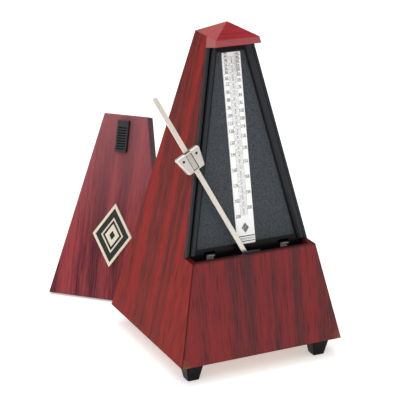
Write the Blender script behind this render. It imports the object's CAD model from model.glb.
"""Wooden pyramid metronome: the looks of every piece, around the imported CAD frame."""

from math import atan, cos, radians, sin

import bpy
import numpy as np
from mathutils import Matrix, Vector


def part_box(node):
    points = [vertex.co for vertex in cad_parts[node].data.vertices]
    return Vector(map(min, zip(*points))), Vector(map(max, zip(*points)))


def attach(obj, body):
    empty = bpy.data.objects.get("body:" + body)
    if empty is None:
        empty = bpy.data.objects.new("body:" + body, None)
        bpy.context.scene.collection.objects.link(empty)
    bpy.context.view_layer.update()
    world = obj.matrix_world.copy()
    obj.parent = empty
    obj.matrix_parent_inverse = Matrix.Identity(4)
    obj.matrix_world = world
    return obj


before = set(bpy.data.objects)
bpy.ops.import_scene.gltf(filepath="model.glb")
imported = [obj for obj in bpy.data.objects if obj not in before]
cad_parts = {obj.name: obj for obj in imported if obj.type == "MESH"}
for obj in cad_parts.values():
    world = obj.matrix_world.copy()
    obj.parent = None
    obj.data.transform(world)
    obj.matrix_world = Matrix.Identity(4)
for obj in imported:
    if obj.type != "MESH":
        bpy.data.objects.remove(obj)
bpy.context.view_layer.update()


# ============================================================ mahogany boards of the case
# Four mitred boards faced with dark red ribbon mahogany, the grain running up each one, stained
# and finished with a thin satin lacquer. Soft ribbons a centimetre wide lie under fine fibres.
def ink(code):
    """A colour from its sRGB hex code, in the linear values the shader nodes take."""
    parts = [int(code[i:i + 2], 16) / 255 for i in (0, 2, 4)]
    linear = [p / 12.92 if p <= 0.04045 else ((p + 0.055) / 1.055) ** 2.4 for p in parts]
    return (*linear, 1.0)


def put(tree, kind, inputs=None, **settings):
    """Adds one shader node with its settings, its input values and its incoming links."""
    made = tree.nodes.new("ShaderNode" + kind)
    for setting, value in settings.items():
        setattr(made, setting, value)
    for key, value in (inputs or {}).items():
        if isinstance(value, bpy.types.NodeSocket):
            tree.links.new(value, made.inputs[key])
        else:
            made.inputs[key].default_value = value
    return made


def new_material(name):
    """An empty material: its tree, its surface shader and the object coordinates."""
    made = bpy.data.materials.new(name)
    made.use_nodes = True
    tree = made.node_tree
    tree.nodes.clear()
    shader = put(tree, "BsdfPrincipled")
    put(tree, "OutputMaterial", {"Surface": shader.outputs[0]})
    return made, tree, shader, put(tree, "TexCoord").outputs["Object"]


def wear(material, *names):
    """Gives the named CAD pieces one material."""
    for name in names:
        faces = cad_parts[name].data
        faces.materials.clear()
        faces.materials.append(material)


def place_on(tree):
    """The place of a point on the piece, in object coordinates, that a material already reads."""
    return next(node for node in tree.nodes if node.type == "TEX_COORD").outputs["Object"]


def along(tree, way, start=(0, 0, 0)):
    """How far a point of the piece lies along a direction from a start."""
    offset = put(tree, "VectorMath", {0: place_on(tree), 1: start}, operation="SUBTRACT").outputs[0]
    return put(tree, "VectorMath", {0: offset, 1: way}, operation="DOT_PRODUCT").outputs["Value"]


def tint(tree, amount, colour):
    """Lays a colour over a material's own one, by an amount from 0 to 1."""
    shader = next(node for node in tree.nodes if node.type == "BSDF_PRINCIPLED")
    own = shader.inputs["Base Color"].links[0].from_socket
    laid = put(tree, "Mix", {0: amount, 6: own, 7: ink(colour)}, data_type="RGBA")
    tree.links.new(laid.outputs[2], shader.inputs["Base Color"])


def dress(tree, shader, colour, gloss, relief):
    """Links a mixed colour, a ranged roughness and a bump of the given inputs to a shader."""
    tree.links.new(colour.outputs[2], shader.inputs["Base Color"])
    tree.links.new(gloss.outputs[0], shader.inputs["Roughness"])
    tree.links.new(put(tree, "Bump", relief).outputs[0], shader.inputs["Normal"])


def mahogany(name, right, up, light, dark, pore, seed, mitred=True):
    """Ribbon mahogany with its grain running up one board.

    The tone is a sum of three noises, each stretched along the grain: ribbons 9 mm wide, streaks
    2.4 mm wide and fibres 0.6 mm wide, drawn a little coarse so that they show. It drifts between
    a light and a dark red. The darkest fibres are open pores, darker still and slightly sunk. A
    board's right direction leans out of its face, so that the grain shows on its edges too. The
    mitred corners, where x and y are as large as each other, have a dark glue line, and the sawn
    upper edges took more stain.
    """
    made, tree, shader, place = new_material(name)
    side = along(tree, right)
    rise = along(tree, up)
    flat = put(tree, "CombineXYZ", {0: side, 1: rise, 2: seed}).outputs[0]
    drift = put(tree, "VectorMath", {0: flat, 1: (9, 4, 1)}, operation="MULTIPLY").outputs[0]
    sway = put(tree, "TexNoise", {"Vector": drift, "Scale": 1.0, "Detail": 1.0}).outputs[0]
    sway_wide = 0.004           # metres that the grain wanders sideways
    shift = put(tree, "Math", {0: sway, 1: sway_wide, 2: side}, operation="MULTIPLY_ADD").outputs[0]
    grain = put(tree, "CombineXYZ", {0: shift, 1: rise, 2: seed}).outputs[0]
    layers = []
    for stretch, detail in (((110, 3, 1), 1.0), ((420, 4, 1), 1.0), ((1600, 70, 1), 2.0)):
        squeezed = put(tree, "VectorMath", {0: grain, 1: stretch}, operation="MULTIPLY").outputs[0]
        layers.append(
            put(tree, "TexNoise", {"Vector": squeezed, "Scale": 1.0, "Detail": detail}).outputs[0]
        )
    ribbons, streaks, fibres = layers
    streak_weight = 0.45
    fibre_weight = 0.65
    mixed = put(tree, "Math", {0: streaks, 1: streak_weight, 2: ribbons}, operation="MULTIPLY_ADD")
    mixed = put(tree, "Math", {0: fibres, 1: fibre_weight, 2: mixed.outputs[0]},
                operation="MULTIPLY_ADD")
    all_light, all_dark = 0.82, 1.30        # sums of the noises where the tone stops changing
    tone = put(tree, "MapRange", {0: mixed.outputs[0], 1: all_light, 2: all_dark},
               interpolation_type="SMOOTHSTEP")
    body = put(tree, "Mix", {0: tone.outputs[0], 6: ink(light), 7: ink(dark)}, data_type="RGBA")
    pore_edge, pore_floor = 0.54, 0.70
    sunk = put(tree, "MapRange", {0: fibres, 1: pore_edge, 2: pore_floor},
               interpolation_type="SMOOTHSTEP")
    pore_cover = 0.30
    amount = put(tree, "Math", {0: sunk.outputs[0], 1: pore_cover}, operation="MULTIPLY").outputs[0]
    colour = put(tree, "Mix", {0: amount, 6: body.outputs[2], 7: ink(pore)}, data_type="RGBA")
    lacquered, dry = 0.40, 0.54             # roughness of the smoothest and the driest fibres
    gloss = put(tree, "MapRange", {0: fibres, 1: 0.3, 2: 0.7, 3: lacquered, 4: dry})
    corner_radius = 0.0007
    eased = put(tree, "Bevel", {"Radius": corner_radius}, samples=4).outputs[0]
    dress(tree, shader, colour, gloss,
          {"Height": sunk.outputs[0], "Strength": 0.12, "Distance": -0.0001, "Normal": eased})
    shader.inputs["Specular IOR Level"].default_value = 0.08
    if mitred:
        folded = put(tree, "VectorMath", {0: place}, operation="ABSOLUTE").outputs[0]
        apart = put(tree, "VectorMath", {0: folded, 1: (1, -1, 0)}, operation="DOT_PRODUCT")
        apart = put(tree, "Math", {0: apart.outputs["Value"]}, operation="ABSOLUTE").outputs[0]
        glue_dark, glue_gone = 0.0004, 0.0011       # metres from the middle of the mitre
        glue = put(tree, "MapRange", {0: apart, 1: glue_dark, 2: glue_gone, 3: 0.65, 4: 0.0})
        tint(tree, glue.outputs[0], pore)
        facing = put(tree, "VectorMath", {0: put(tree, "NewGeometry").outputs["Normal"],
                                          1: (0, 0, 1)}, operation="DOT_PRODUCT")
        end_grain = put(tree, "MapRange", {0: facing.outputs["Value"], 1: 0.6, 2: 0.9, 4: 0.75})
        tint(tree, end_grain.outputs[0], pore)
    return made


case_lean = atan(0.215)         # how far each board leans in from upright
edge_share = 0.8                # how much of the grain's width shows through a board's thickness
outward = edge_share * cos(case_lean)
upward = edge_share * sin(case_lean)
up = (0, 0, 1)
side_board = ("931912", "541D18", "30120E")
front_board = ("812F30", "522F31", "2E181A")
wear(mahogany("mahogany_veneer_left", (-outward, 1, upward), up, *side_board, 3.1),
     "left_side_panel")
wear(mahogany("mahogany_veneer_right", (outward, 1, upward), up, *side_board, 7.7),
     "right_side_panel")
wear(mahogany("mahogany_veneer_back", (1, outward, upward), up, *side_board, 5.2), "back_panel")
plinth_veneer = mahogany("mahogany_veneer_plinth", (1, -outward, upward), up, *front_board, 1.4)
wear(plinth_veneer, "front_plinth_panel")

# The plinth's two bottom corners are rubbed through to the pale brown wood.
plinth_low, plinth_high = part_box("front_plinth_panel")
tree = plinth_veneer.node_tree
place = place_on(tree)
raggedness = 0.010              # metres that the worn edge wanders
worn_away, still_sound = 0.0080, 0.0120
for corner_x in (plinth_low[0], plinth_high[0]):
    ragged = put(tree, "TexNoise", {"Vector": place, "Scale": 300.0, "Detail": 2.0}).outputs[0]
    corner = (corner_x, plinth_low[1], plinth_low[2])
    away = put(tree, "VectorMath", {0: place, 1: corner}, operation="DISTANCE").outputs["Value"]
    rubbed = put(tree, "Math", {0: ragged, 1: raggedness, 2: away}, operation="MULTIPLY_ADD")
    bare = put(tree, "MapRange", {0: rubbed.outputs[0], 1: still_sound, 2: worn_away, 3: 0.0,
                                  4: 0.75}).outputs[0]
    tint(tree, bare, "85502F")

# ============================================================ roof
# A solid mahogany block, cut to four low facets. Cut across the grain, it takes more stain, so it
# is brighter and more even than the boards, with short streaks.
cap_colours = ("A82A30", "84232B", "561820")
cap_veneer = mahogany("mahogany_solid_roof", (0.1, 1, 0.4), (1, -0.1, 0), *cap_colours, 9.3,
                      mitred=False)
wear(cap_veneer, "roof_cap")

# The left facet is cut against the grain and looks paler, and so does the worn rim at the eave.
tree = cap_veneer.node_tree
folded = put(tree, "VectorMath", {0: place_on(tree)}, operation="ABSOLUTE").outputs[0]
to_side = put(tree, "VectorMath", {0: folded, 1: (0, 1, 0)}, operation="DOT_PRODUCT")
leftward = put(tree, "Math", {0: along(tree, (-1, 0, 0)), 1: to_side.outputs["Value"]},
               operation="SUBTRACT").outputs[0]
blur = 0.0002                   # metres over which one colour gives way to the next
paleness = 0.42
facet = put(tree, "MapRange", {0: leftward, 1: -blur, 2: 2 * blur, 3: 0.0, 4: paleness}).outputs[0]
tint(tree, facet, "C07470")
eave = 0.2137                   # height of the rim's upper edge
rim = put(tree, "MapRange", {0: along(tree, up), 1: eave + blur, 2: eave - blur, 4: paleness})
tint(tree, rim.outputs[0], "A8696C")


# ============================================================ base board and glue blocks
# A plywood board closes the case below, glued and screwed to softwood blocks in its corners and
# at the middle of its back. None of it is finished: pale brown, dry and a little furry.
def bare_wood(name, stretch, light, dark):
    """Sawn unfinished wood: soft long streaks and a fine fuzzy bump."""
    made, tree, shader, place = new_material(name)
    squeezed = put(tree, "VectorMath", {0: place, 1: stretch}, operation="MULTIPLY").outputs[0]
    streak = put(tree, "TexNoise", {"Vector": squeezed, "Scale": 1.0, "Detail": 4.0}).outputs[0]
    tone = put(tree, "MapRange", {0: streak, 1: 0.35, 2: 0.65})
    body = put(tree, "Mix", {0: tone.outputs[0], 6: ink(light), 7: ink(dark)}, data_type="RGBA")
    fuzz = put(tree, "TexNoise", {"Vector": place, "Scale": 2500.0, "Detail": 2.0}).outputs[0]
    relief = put(tree, "Bump", {"Height": fuzz, "Strength": 0.3, "Distance": 0.0001}).outputs[0]
    tree.links.new(body.outputs[2], shader.inputs["Base Color"])
    tree.links.new(relief, shader.inputs["Normal"])
    shader.inputs["Roughness"].default_value = 0.8
    return made


wear(bare_wood("plywood_base_sawn", (40, 600, 600), "A98058", "8A623F"), "base_board")
wear(bare_wood("softwood_blocks_sawn", (700, 700, 50), "C39A66", "A67F4E"),
     "corner_blocks", "rear_block")


# ============================================================ feet and their screws
# Three tapered blocks of black plastic with a fine satin grain, rubbed paler along their edges,
# each held by a long plated screw sunk in its underside. Two more hold the bare rear corners.
def moulded(name, colour, rough, grain_scale, grain_depth, fleck, edge=0.0003, shine=0.3):
    """Moulded plastic: one colour with a faint cloudiness, a fine grain and softened edges.

    The clouds are about 11 mm across, and the grain's scale is 1 over its width in metres.
    """
    made, tree, shader, place = new_material(name)
    cloud = put(tree, "TexNoise", {"Vector": place, "Scale": 90.0, "Detail": 3.0}).outputs[0]
    pits = put(tree, "TexNoise", {"Vector": place, "Scale": grain_scale, "Detail": 3.0}).outputs[0]
    paler = {0: cloud, 6: ink(colour), 7: ink(fleck)}
    body = put(tree, "Mix", paler, data_type="RGBA")
    gloss = put(tree, "MapRange", {0: pits, 1: 0.3, 2: 0.7, 3: rough - 0.06, 4: rough + 0.08})
    eased = put(tree, "Bevel", {"Radius": edge}, samples=4).outputs[0]
    relief = {"Height": pits, "Strength": 0.5, "Distance": grain_depth, "Normal": eased}
    dress(tree, shader, body, gloss, relief)
    shader.inputs["Specular IOR Level"].default_value = shine
    return made


def metal(name, colour, patched, rough, scratch, edge=0.0002, pitted=0.0):
    """Worked metal: fine tool lines in one direction, a patchy sheen and softened edges.

    The lines' scratch gives how many there are to a metre along x, y and z. The patches are
    about 7 mm across, and the pits of a casting 0.5 mm.
    """
    made, tree, shader, place = new_material(name)
    squeezed = put(tree, "VectorMath", {0: place, 1: scratch}, operation="MULTIPLY").outputs[0]
    lines = put(tree, "TexNoise", {"Vector": squeezed, "Scale": 1.0, "Detail": 3.0}).outputs[0]
    patch = put(tree, "TexNoise", {"Vector": place, "Scale": 140.0, "Detail": 3.0}).outputs[0]
    body = put(tree, "Mix", {0: patch, 6: ink(colour), 7: ink(patched)}, data_type="RGBA")
    gloss = put(tree, "MapRange", {0: lines, 1: 0.3, 2: 0.7, 3: rough - 0.07, 4: rough + 0.09})
    pits = put(tree, "TexNoise", {"Vector": place, "Scale": 2200.0, "Detail": 2.0}).outputs[0]
    height = put(tree, "Math", {0: pits, 1: pitted, 2: lines}, operation="MULTIPLY_ADD").outputs[0]
    eased = put(tree, "Bevel", {"Radius": edge}, samples=4).outputs[0]
    relief = {"Height": height, "Strength": 0.12, "Distance": 0.00005, "Normal": eased}
    dress(tree, shader, body, gloss, relief)
    shader.inputs["Metallic"].default_value = 1.0
    return made


wear(moulded("black_plastic_feet", "030304", 0.38, 1500, 0.00006, "08080A", shine=0.12),
     "front_feet", "rear_foot")
wear(metal("steel_screws_zinc_plated", "A6A49C", "8C8A82", 0.32, (900, 900, 900)), "base_screws")

# ============================================================ black front moulding
# One moulding covers the whole opening. The sunken field round the scale has a spark-eroded
# grain that looks slate grey; the ribs, the flanges and the channel behind the plinth are smooth.
face_origin = Vector((0, -0.044654, 0.0778))    # middle of the plinth's top front edge
across = Vector((1, 0, 0))
up_face = Vector((0, sin(case_lean), cos(case_lean)))
out_of_face = Vector((0, -cos(case_lean), sin(case_lean)))
field_out = -0.01215            # the field lies deeper than this, the ribs stand out of it
flange_out = -0.0110            # the flanges stand out further than this
channel_top = 0.0062            # the field starts above the channel, this far up the face


def front_moulding():
    """Grained grey where the surface lies deep and inside the ribs, smooth black elsewhere."""
    made, tree, shader, place = new_material("black_plastic_moulding_grained")
    rise = along(tree, up_face, face_origin)
    out = along(tree, out_of_face, face_origin)
    deep = put(tree, "Math", {0: out, 1: field_out}, operation="LESS_THAN").outputs[0]
    high = put(tree, "Math", {0: rise, 1: channel_top}, operation="GREATER_THAN").outputs[0]
    field = put(tree, "Math", {0: deep, 1: high}, operation="MULTIPLY").outputs[0]
    grain = put(tree, "TexNoise", {"Vector": place, "Scale": 1100.0, "Detail": 4.0}).outputs[0]
    speck = put(tree, "MapRange", {0: grain, 1: 0.35, 2: 0.65})
    slate = put(tree, "Mix", {0: speck.outputs[0], 6: ink("2E3236"), 7: ink("484D52")},
                data_type="RGBA")
    flange = put(tree, "Math", {0: out, 1: flange_out}, operation="GREATER_THAN").outputs[0]
    smooth = put(tree, "Mix", {0: flange, 6: ink("020203"), 7: ink("2A2C30")}, data_type="RGBA")
    body = put(tree, "Mix", {0: field, 6: smooth.outputs[2], 7: slate.outputs[2]},
               data_type="RGBA")
    gloss = put(tree, "MapRange", {0: field, 3: 0.30, 4: 0.50})
    eased = put(tree, "Bevel", {"Radius": 0.0003}, samples=4).outputs[0]
    depth = put(tree, "Math", {0: grain, 1: field}, operation="MULTIPLY").outputs[0]
    relief = {"Height": depth, "Strength": 0.35, "Distance": 0.00015, "Normal": eased}
    dress(tree, shader, body, gloss, relief)
    shader.inputs["Specular IOR Level"].default_value = 0.25
    return made


wear(front_moulding(), "front_insert")


# ============================================================ tempo scale
# A white strip let into the moulding and printed in black: a number for each tempo, in the left
# and the right column in turn, a short rule beside each, and three columns of small print.
def printed_card():
    """Satin white card: nearly even, with a trace of warm mottling and paper tooth."""
    made, tree, shader, place = new_material("white_card_satin")
    mottle = put(tree, "TexNoise", {"Vector": place, "Scale": 160.0, "Detail": 4.0}).outputs[0]
    body = put(tree, "Mix", {0: mottle, 6: ink("FFFFFF"), 7: ink("F4F4F1")}, data_type="RGBA")
    tooth = put(tree, "TexNoise", {"Vector": place, "Scale": 5000.0, "Detail": 2.0}).outputs[0]
    relief = put(tree, "Bump", {"Height": tooth, "Strength": 0.15, "Distance": 0.00003}).outputs[0]
    tree.links.new(body.outputs[2], shader.inputs["Base Color"])
    tree.links.new(relief, shader.inputs["Normal"])
    shader.inputs["Roughness"].default_value = 0.45
    return made


def printing_ink():
    """Black screen ink: a little uneven, so that thin strokes look grey in places."""
    made, tree, shader, place = new_material("black_screen_ink")
    cover = put(tree, "TexNoise", {"Vector": place, "Scale": 3000.0, "Detail": 2.0}).outputs[0]
    body = put(tree, "Mix", {0: cover, 6: ink("101010"), 7: ink("2A2A2A")}, data_type="RGBA")
    tree.links.new(body.outputs[2], shader.inputs["Base Color"])
    shader.inputs["Roughness"].default_value = 0.5
    return made


def mesh_piece(name, points, faces, material, body, smooth=False):
    """A new object from arrays of points and faces, riding on a body."""
    data = bpy.data.meshes.new(name)
    data.from_pydata(points.tolist(), [], faces.tolist())
    data.update()
    data.polygons.foreach_set("use_smooth", [smooth] * len(data.polygons))
    data.materials.append(material)
    piece = bpy.data.objects.new(name, data)
    bpy.context.scene.collection.objects.link(piece)
    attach(piece, body)
    return piece


# A bar's six faces, as corners numbered round its lower ring and then round its upper one.
BAR_FACES = np.array([[0, 3, 2, 1], [4, 5, 6, 7], [0, 1, 5, 4], [1, 2, 6, 5], [2, 3, 7, 6],
                      [3, 0, 4, 7]])


def strokes(lines, widths, low, high):
    """Thin flat bars, one along each line from (x0, y0) to (x1, y1), between two heights.

    Each bar is its line widened by half its stroke to both sides and lengthened by as much at
    both ends: with unit vectors a along the line and b beside it, the corners are
    start - (a + b) w / 2, end + (a - b) w / 2, end + (a + b) w / 2 and start - (a - b) w / 2.
    """
    lines = np.array(lines, float)
    start, end = lines[:, :2], lines[:, 2:]
    length = np.maximum(np.linalg.norm(end - start, axis=1, keepdims=True), 1e-9)
    forth = (end - start) / length * np.array(widths)[:, None] / 2
    beside = np.stack([-forth[:, 1], forth[:, 0]], axis=1)
    ring = np.stack([start - forth - beside, end + forth - beside, end + forth + beside,
                     start - forth + beside], axis=1)
    levels = [np.concatenate([ring, np.full(ring.shape[:2] + (1,), z)], axis=2)
              for z in (low, high)]
    points = np.concatenate(levels, axis=1).reshape(-1, 3)
    faces = (BAR_FACES[None] + 8 * np.arange(len(lines))[:, None, None]).reshape(-1, 4)
    return points, faces


# Each figure is drawn in a cell one wide and two high, as straight strokes.
FIGURES = {
    "0": [(0, 0, 1, 0), (1, 0, 1, 2), (1, 2, 0, 2), (0, 2, 0, 0)],
    "1": [(0.5, 0, 0.5, 2), (0.5, 2, 0.1, 1.6)],
    "2": [(0, 2, 1, 2), (1, 2, 1, 1.1), (1, 1.1, 0, 0), (0, 0, 1, 0)],
    "3": [(0, 2, 1, 2), (1, 2, 1, 0), (1, 0, 0, 0), (0.3, 1, 1, 1)],
    "4": [(0.8, 0, 0.8, 2), (0.8, 2, 0, 0.7), (0, 0.7, 1, 0.7)],
    "5": [(1, 2, 0, 2), (0, 2, 0, 1.1), (0, 1.1, 1, 1.1), (1, 1.1, 1, 0), (1, 0, 0, 0)],
    "6": [(1, 2, 0, 2), (0, 2, 0, 0), (0, 0, 1, 0), (1, 0, 1, 1), (1, 1, 0, 1)],
    "7": [(0, 2, 1, 2), (1, 2, 0.4, 0)],
    "8": [(0, 0, 1, 0), (1, 0, 1, 2), (1, 2, 0, 2), (0, 2, 0, 0), (0, 1, 1, 1)],
    "9": [(0, 0, 1, 0), (1, 0, 1, 2), (1, 2, 0, 2), (0, 2, 0, 1), (0, 1, 1, 1)],
}
tempos = (list(range(40, 60, 2)) + list(range(60, 72, 3)) + list(range(72, 120, 4))
          + list(range(120, 144, 6)) + list(range(144, 209, 8)))

# The print is set out in millimetres, across the face and up it from the plinth's top edge.
MM = 0.001
scale_top = 154.7               # up the face, where the evenly falling tempos would reach zero
per_beat = 0.633
column_outer = 6.1
column_inner = 2.55
figure_wide = 0.68
figure_half = 0.74
figure_pitch = 1.14
figure_rise = 0.38
figure_stroke = 0.24
rule_stroke = 0.17
card_front = -11.8              # the strip's front, on the face's own out axis
marks = []
for index, tempo in enumerate(tempos):
    height = scale_top - per_beat * tempo
    side = -1 if index % 2 == 0 else 1
    label = str(tempo)
    label_wide = figure_pitch * (len(label) - 1) + figure_wide
    left = side * (column_outer + column_inner) / 2 - label_wide / 2
    for count, figure in enumerate(label):
        x = left + count * figure_pitch
        for x0, y0, x1, y1 in FIGURES[figure]:
            line = (x + x0 * figure_wide, height + figure_rise + y0 * figure_half,
                    x + x1 * figure_wide, height + figure_rise + y1 * figure_half)
            marks.append((line, figure_stroke))
    marks.append(((side * column_inner, height, side * column_outer, height), rule_stroke))

# The small print: words too small to read, running up three columns. Each letter is three
# crossing strokes in a cell, and a fine rule stands each side of the middle column.
print_low = 24.5
print_high = 128.4
letter_pitch = 0.52
letter_tall = 0.72 * letter_pitch
word_gap = 1.6 * letter_pitch
print_margin = 1.0
print_columns = ((-1.70, 0.26, 0.10), (0.0, 0.34, 0.17), (1.70, 0.26, 0.10))
draw = np.random.default_rng(12)
for column, half, stroke in print_columns:
    y = print_low
    while y < print_high:
        for _ in range(draw.integers(4, 11)):
            for _ in range(3):
                x0, x1 = draw.uniform(-half, half, 2)
                y0, y1 = draw.uniform(0, letter_tall, 2)
                if y + print_margin < print_high:
                    marks.append(((column + x0, y + y0, column + x1, y + y1), stroke))
            y += letter_pitch
        y += word_gap
column_rule = 0.85
column_rule_stroke = 0.12
column_rule_low = print_low - 0.6
for x in (-column_inner, -column_rule, column_rule, column_inner):
    marks.append(((x, column_rule_low, x, print_high), column_rule_stroke))

# Below the numbers a plain lozenge of thin rings, and a plain ruled bar at the strip's foot.
lozenge_up = 16.1
lozenge_tall = 1.3              # height over width
for size in np.linspace(0.3, 2.5, 8):
    tall = lozenge_tall * size
    tips = [(0, lozenge_up - tall), (size, lozenge_up), (0, lozenge_up + tall), (-size, lozenge_up)]
    marks += [((*tips[i], *tips[(i + 1) % 4]), rule_stroke) for i in range(4)]
for bar_up, bar_stroke in ((10.6, 0.55), (7.3, 0.45)):
    marks.append(((-column_outer, bar_up, column_outer, bar_up), bar_stroke))
tick_low, tick_high, tick_lean, tick_pitch, tick_stroke = 8.4, 9.5, 0.25, 0.72, 0.2
for x in np.arange(-5.4, 5.5, tick_pitch):
    marks.append(((x, tick_low, x + tick_lean, tick_high), tick_stroke))
ink_sunk, ink_raised = 0.05, 0.04       # how far the ink reaches into the card and stands on it
ink_points, ink_faces = strokes([line for line, width in marks], [width for line, width in marks],
                                card_front - ink_sunk, card_front + ink_raised)
axes = np.array([across, up_face, out_of_face])
scale_print = mesh_piece("scale_print", np.array(face_origin) + MM * ink_points @ axes, ink_faces,
                         printing_ink(), "case")
wear(printed_card(), "scale_plate")

# ============================================================ catch, clips and strike
# Bright nickelled spring steel: the bent wire that parks the rod, the two clips in the channel
# that the lid's tongues snap into, and the little strike plate let into the roof's overhang.
wear(metal("spring_steel_nickel_plated", "FAF9F6", "E4E2DC", 0.34, (2500, 900, 900)),
     "lid_clips", "latch_strike", "rod_rest_catch")

# ============================================================ movement
# Stamped and turned brass plates, bridges and wheels, ground steel arbors, pinions and screws,
# and blued spring strip, all behind the moulding and seen through its slot and from below.
wear(metal("brass_machined", "C9A45A", "A98443", 0.30, (300, 300, 6000)),
     "key_bush", "left_movement_plate", "right_movement_plate", "plate_pillars", "front_bridge",
     "rear_bridge", "spindle_bushes", "potence", "great_wheel", "second_wheel", "escape_wheel",
     "rod_hub")
wear(metal("steel_ground", "9C9C9C", "7E8084", 0.28, (5000, 400, 400)),
     "pillar_screws", "movement_screws", "bridge_rivets", "winding_arbor", "ratchet_wheel",
     "click", "click_rivet", "second_arbor", "second_pinion", "escape_arbor", "escape_pinion",
     "pendulum_arbor", "rod_nut", "bob_screw", "pallets")
wear(metal("spring_steel_blued", "3E4A66", "2C3242", 0.25, (400, 400, 4000)),
     "mainspring", "click_spring")

# ============================================================ winding key
# A die-cast wing key screwed on the end of the winding arbor, outside the right board. It is
# nickel plated and polished by fingers, so its rounded edges gleam.
wear(metal("key_casting_nickel_plated", "D2CEC4", "B4B0A6", 0.24, (900, 900, 2500), 0.0006, 0.6),
     "winding_key")

# ============================================================ pendulum rod and weight
# The rod is nickelled strip with a warm, slightly dulled sheen, a notch rolled across it at each
# tempo; the weight is a nickelled casting with a sprung leaf let into its front.
wear(metal("steel_rod_nickelled_warm", "FFF9EF", "F6EBDC", 0.36, (6000, 500, 500)),
     "pendulum_rod")

swing = radians(26.83)
spindle = face_origin - 0.00725 * up_face - 0.007 * out_of_face
weight_up = 0.0808              # spindle to the middle of the weight, along the rod
rod_up = cos(swing) * up_face - sin(swing) * across
rod_across = cos(swing) * across + sin(swing) * up_face
hole_side = 0.0052              # from the rod's middle line to each hole
hole_up = 0.0030                # from the weight's middle up to the holes
hole_radius = 0.00096
pocket_half = 0.0023
front_out = 0.0019              # the weight's front face, out from the spindle


def weight_casting():
    """Nickelled casting, dark with old oil down inside its two holes and its pocket.

    A point is inside when it lies below the front face and either within the holes' radius of
    one of their axes, or within the pocket's half width of the rod.
    """
    made = metal("weight_casting_nickelled", "F4EEE6", "DDD6CC", 0.38, (1200, 1200, 5000),
                 0.0003, 0.5)
    tree = made.node_tree
    below = put(tree, "Math", {0: along(tree, out_of_face, spindle), 1: front_out},
                operation="LESS_THAN").outputs[0]
    beside = put(tree, "Math", {0: along(tree, rod_across, spindle)}, operation="ABSOLUTE")
    from_hole = put(tree, "Math", {0: beside.outputs[0], 1: hole_side}, operation="SUBTRACT")
    above_hole = put(tree, "Math", {0: along(tree, rod_up, spindle), 1: weight_up + hole_up},
                     operation="SUBTRACT")
    offset = put(tree, "CombineXYZ", {0: from_hole.outputs[0], 1: above_hole.outputs[0]})
    away = put(tree, "VectorMath", {0: offset.outputs[0]}, operation="LENGTH").outputs["Value"]
    for reach, limit, colour in ((away, hole_radius, "050404"),
                                 (beside.outputs[0], pocket_half, "1A1714")):
        near = put(tree, "Math", {0: reach, 1: limit}, operation="LESS_THAN").outputs[0]
        inside = put(tree, "Math", {0: near, 1: below}, operation="MULTIPLY").outputs[0]
        tint(tree, inside, colour)
    return made


wear(weight_casting(), "sliding_weight")
wear(metal("weight_leaf_nickelled", "E4DFD8", "CFCAC3", 0.34, (4000, 800, 800)),
     "weight_spring")
wear(metal("lead_alloy_cast", "6C6E72", "55575B", 0.48, (900, 900, 900), pitted=1.5),
     "lower_bob")

# ============================================================ lid
# The same veneer on the lid's front, paler and pinker upwards where it has faded, with darker
# edges. It stands behind the case, turned and leaning back, and its grain runs up along it.
lid_yaw = radians(-43.9)
lid_lean = radians(19.2)
lid_across = Vector((cos(lid_yaw), sin(lid_yaw), 0))
lid_out = Vector((cos(lid_lean) * sin(lid_yaw), -cos(lid_lean) * cos(lid_yaw), sin(lid_lean)))
lid_up = lid_out.cross(lid_across)
lid_origin = Vector((-0.0486, 0.0923, 0.00136))     # middle of the lid's bottom front edge
lid_board = ("984043", "542A30", "3A1E25")
lid_veneer = mahogany("mahogany_veneer_lid", lid_across + edge_share * lid_out, lid_up,
                      *lid_board, 4.6, mitred=False)
wear(lid_veneer, "lid_shell")
tree = lid_veneer.node_tree
lid_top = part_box("lid_shell")[1][2]
fade_starts = 0.3 * lid_top
faded = put(tree, "MapRange", {0: along(tree, up), 1: fade_starts, 2: lid_top, 4: 0.58})
tint(tree, faded.outputs[0], "A8686C")
face_ends, edge_starts = -0.0004, -0.0012       # out from the lid's front face
edge = put(tree, "MapRange", {0: along(tree, lid_out, lid_origin), 1: face_ends, 2: edge_starts,
                              4: 0.95})
tint(tree, edge.outputs[0], "3C181B")
wear(metal("steel_tongues_nickel_plated", "D8D6D0", "BEBCB6", 0.18, (2500, 900, 900)),
     "lid_tongues")

# ============================================================ badge
# A lozenge badge glued to the lid: a cream moulded rim and plain nested emblem round a dark
# enamelled plate, which is glossier than the cream.
wear(moulded("cream_moulding_badge", "EDE6D0", 0.32, 700, 0.00002, "E2D9C0", 0.0002),
     "badge_frame", "badge_emblem")
wear(moulded("dark_enamel_badge", "2A2E2A", 0.20, 500, 0.00002, "353A35", 0.0001),
     "badge_plate")

# ============================================================ latch
# A ribbed black thumb slide on the lid, greyer on the crests that fingers rub, and behind the
# board its flat steel bolt, held by a stamped bracket.
slide_black = moulded("black_latch_moulding", "020203", 0.24, 1800, 0.00003, "060607", 0.0002, 0.2)
wear(slide_black, "latch_slide")
tree = slide_black.node_tree
slide_front = 0.0036            # how far the slide stands out of the lid
crest_low, crest_high = 0.0005, 0.0002      # where the grey starts and is full, behind the front
crest = put(tree, "MapRange", {0: along(tree, lid_out, lid_origin), 1: slide_front - crest_low,
                               2: slide_front - crest_high, 4: 0.8})
tint(tree, crest.outputs[0], "3C4143")
wear(metal("latch_steel_stamped", "8E8E8A", "74746F", 0.35, (3000, 500, 500)),
     "latch_bolt", "latch_guide")


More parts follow.
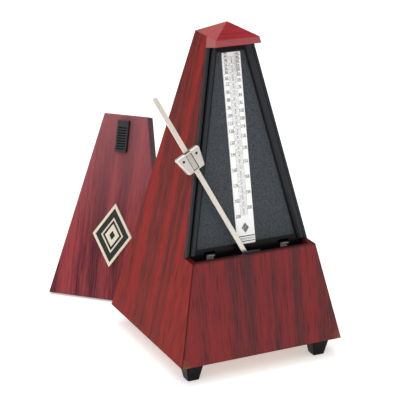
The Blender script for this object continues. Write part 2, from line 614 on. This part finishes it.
# ============================================================ floor
# A plain white sheet of paper 6 m square. It has a little light of its own so that it stays
# white, and more of it further out, where the lamps don't reach.
def floor_material():
    """White paper with a faint tooth and a little light of its own, more towards the far edge."""
    made, tree, shader, place = new_material("white_paper_sweep")
    tooth = put(tree, "TexNoise", {"Vector": place, "Scale": 900.0, "Detail": 2.0}).outputs[0]
    body = put(tree, "Mix", {0: tooth, 6: ink("FFFFFF"), 7: ink("FBFBFB")}, data_type="RGBA")
    tree.links.new(body.outputs[2], shader.inputs["Base Color"])
    shader.inputs["Roughness"].default_value = 0.9
    shader.inputs["Specular IOR Level"].default_value = 0.1
    shader.inputs["Emission Color"].default_value = (1, 1, 1, 1)
    far = put(tree, "VectorMath", {0: place}, operation="LENGTH").outputs["Value"]
    near_glow, far_glow = 0.40, 0.62
    glow = put(tree, "MapRange", {0: far, 1: 0.5, 2: 1.8, 3: near_glow, 4: far_glow}).outputs[0]
    tree.links.new(glow, shader.inputs["Emission Strength"])
    return made


floor_half = 3.0
floor_data = bpy.data.meshes.new("floor")
floor_data.from_pydata(
    [(-floor_half, -floor_half, 0), (floor_half, -floor_half, 0), (floor_half, floor_half, 0),
     (-floor_half, floor_half, 0)], [], [(0, 1, 2, 3)])
floor_data.materials.append(floor_material())
floor = bpy.data.objects.new("floor", floor_data)
bpy.context.scene.collection.objects.link(floor)


# ============================================================ lights
# A big soft light from the front left and above, a weak one from the right, and one overhead,
# in surroundings that are white to look at and half as bright as a source of light.
def lamp(name, place, target, size, power):
    """A square soft light at a place, aimed at a target."""
    light = bpy.data.lights.new(name, "AREA")
    light.size = size
    light.energy = power
    made = bpy.data.objects.new(name, light)
    made.location = place
    made.rotation_euler = (Vector(target) - Vector(place)).to_track_quat("-Z", "Y").to_euler()
    bpy.context.scene.collection.objects.link(made)


object_middle = (-0.02, 0, 0.1)
lamp("key_light", (-0.9, -0.9, 1.3), object_middle, 1.2, 11)
lamp("fill_light", (1.1, -0.9, 0.8), object_middle, 0.8, 1.5)
lamp("top_light", (-0.1, 0.2, 1.6), object_middle, 1.2, 9)

seen_strength = 1.0
light_strength = 0.45
world = bpy.data.worlds.new("studio")
world.use_nodes = True
sky = world.node_tree
sky.nodes.clear()
seen = put(sky, "LightPath").outputs["Is Camera Ray"]
lit = put(sky, "Background", {"Color": (1, 1, 1, 1), "Strength": light_strength}).outputs[0]
white = put(sky, "Background", {"Color": (1, 1, 1, 1), "Strength": seen_strength}).outputs[0]
both = put(sky, "MixShader", {0: seen, 1: lit, 2: white}).outputs[0]
put(sky, "OutputWorld", {"Surface": both})
bpy.context.scene.world = world
bpy.context.scene.view_settings.view_transform = "Standard"

# ============================================================ camera
# A long lens, from the front left and at the height of someone looking down at a table. It is
# turned three eighths of a degree about its own axis.
camera_data = bpy.data.cameras.new("camera")
camera_data.lens = 141.73
camera_data.sensor_width = 36.0
camera_data.clip_end = 20.0
camera = bpy.data.objects.new("camera", camera_data)
eye = Vector((-0.44547, -0.87885, 0.45024))
aim = Vector((-0.018369, 0, 0.103225))
forward = (aim - eye).normalized()
level_right = forward.cross(Vector((0, 0, 1))).normalized()
level_up = level_right.cross(forward)
tilt = radians(0.375)
camera_right = cos(tilt) * level_right + sin(tilt) * level_up
camera_up = -sin(tilt) * level_right + cos(tilt) * level_up
turned = Matrix((camera_right, camera_up, -forward)).transposed().to_4x4()
camera.matrix_world = Matrix.Translation(eye) @ turned
bpy.context.scene.collection.objects.link(camera)
bpy.context.scene.camera = camera
